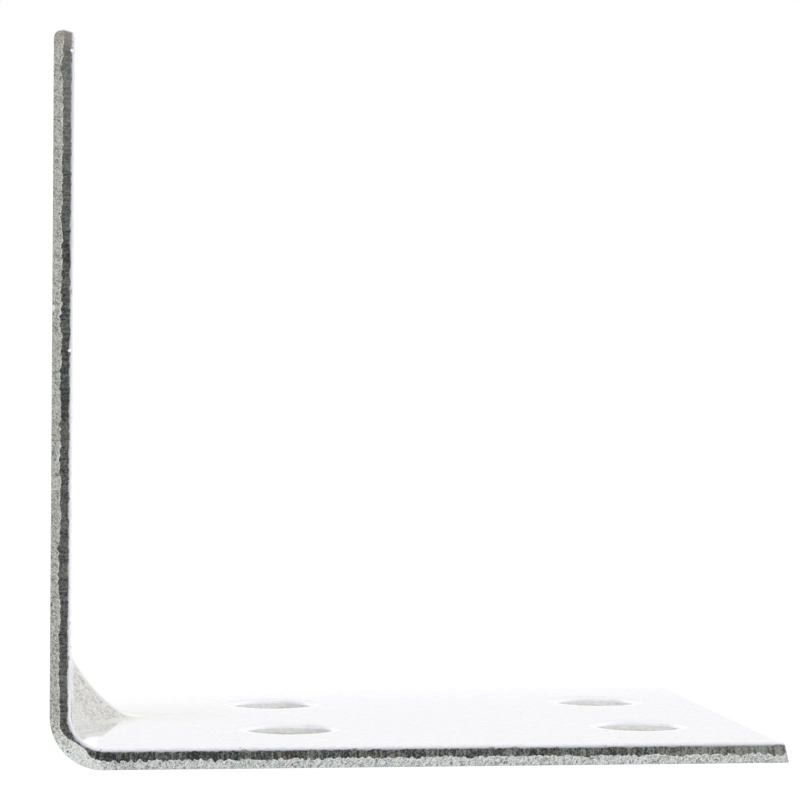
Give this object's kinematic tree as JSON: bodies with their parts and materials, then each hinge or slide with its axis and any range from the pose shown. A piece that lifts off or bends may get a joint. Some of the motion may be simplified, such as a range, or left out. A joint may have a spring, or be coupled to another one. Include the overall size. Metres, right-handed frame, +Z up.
{
  "type": "angle bracket",
  "caption": "Right-angle bracket folded from thick zinc-coated sheet steel, with a small pressed rib across the fold and rows of round screw holes in both legs.",
  "frame": {"origin": "middle of the base leg's underside", "axes": "+X along the base leg, away from the standing leg; +Y across the width, along the fold; +Z up the standing leg"},
  "size_m": [0.09, 0.065, 0.0878],
  "materials": {
    "zinc_coated_steel": "satin hot-dip zinc coating, faintly mottled; punched edges show bare grey steel, smooth near the inner face and rough near the outer face"
  },
  "bodies": {
    "root": {"bracket": "zinc_coated_steel"}
  },
  "joints": []
}
